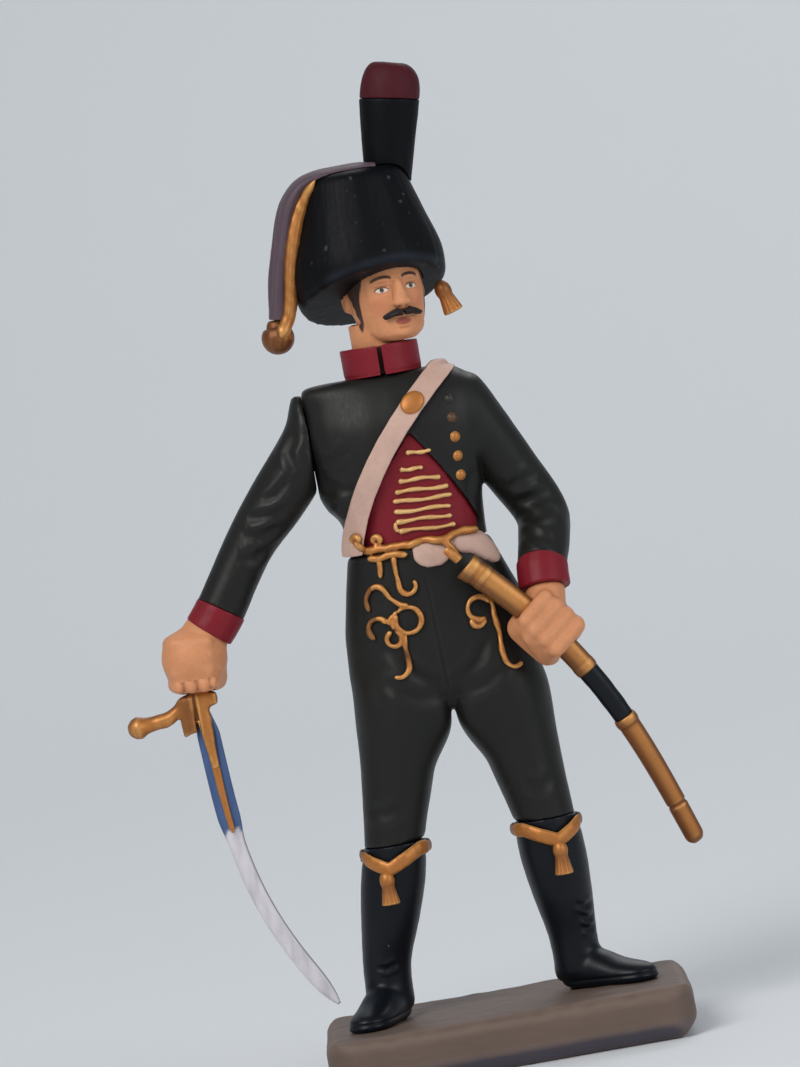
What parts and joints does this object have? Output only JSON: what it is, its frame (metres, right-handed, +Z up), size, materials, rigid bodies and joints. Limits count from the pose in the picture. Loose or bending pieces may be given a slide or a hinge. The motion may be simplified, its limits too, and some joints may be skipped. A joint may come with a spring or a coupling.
{
  "type": "toy soldier figure",
  "caption": "Painted cast figure of a light cavalryman in a fur cap, standing on a flat base with a lowered sabre; the head turns and the sword arm swings.",
  "frame": {"origin": "centre of the base's underside", "axes": "+Z up through the figure; the figure faces -Y and its own left side is +X"},
  "size_m": [0.0404, 0.018, 0.0741],
  "materials": {
    "coat_green": "satin enamel",
    "boot_black": "satin enamel",
    "red": "satin enamel",
    "gold": "metallic paint",
    "buff": "satin enamel",
    "flesh": "matt enamel",
    "steel": "metallic paint",
    "fur_black": "satin enamel",
    "mauve": "satin enamel",
    "base_brown": "satin enamel"
  },
  "bodies": {
    "figure": {"base_plate": "base_brown", "right_boot": "boot_black", "left_boot": "boot_black", "right_boot_trim": "gold", "left_boot_trim": "gold", "right_boot_tassel": "gold", "left_boot_tassel": "gold", "breeches": "coat_green", "right_thigh_knot": "gold", "left_thigh_knot": "gold", "waist_belt": "buff", "waist_braid": "gold", "coat": "coat_green", "coat_tails": "coat_green", "waistcoat": "red", "waistcoat_braid": "gold", "coat_buttons": "gold", "tail_buttons": "gold", "collar": "red", "cross_belt": "buff", "cross_belt_plate": "gold", "cartridge_pouch": "boot_black", "left_sleeve": "coat_green", "left_cuff": "red", "left_hand": "flesh", "scabbard_locket": "gold", "scabbard_leather": "boot_black", "scabbard_chape": "gold", "scabbard_ring": "gold"},
    "turning_head": {"head": "flesh", "moustache": "fur_black", "fur_cap": "fur_black", "cap_bag": "mauve", "bag_braid": "gold", "bag_tassel": "gold", "cord_tassel": "gold", "plume": "fur_black", "plume_tip": "red"},
    "sword_arm": {"right_sleeve": "coat_green", "right_cuff": "red", "right_hand": "flesh", "sabre_guard": "gold", "sabre_blade": "steel", "blade_gilding": "gold"}
  },
  "joints": [
    {"name": "head_turn", "type": "hinge", "parent": "figure", "child": "turning_head", "pos_m": [-0.0009, 0, 0.0493], "axis": [0, 0, 1], "range_deg": [-45, 45]},
    {"name": "sword_arm_swing", "type": "hinge", "parent": "figure", "child": "sword_arm", "pos_m": [-0.0056, 0, 0.0475], "axis": [-1, 0, 0], "range_deg": [-45, 135]}
  ]
}
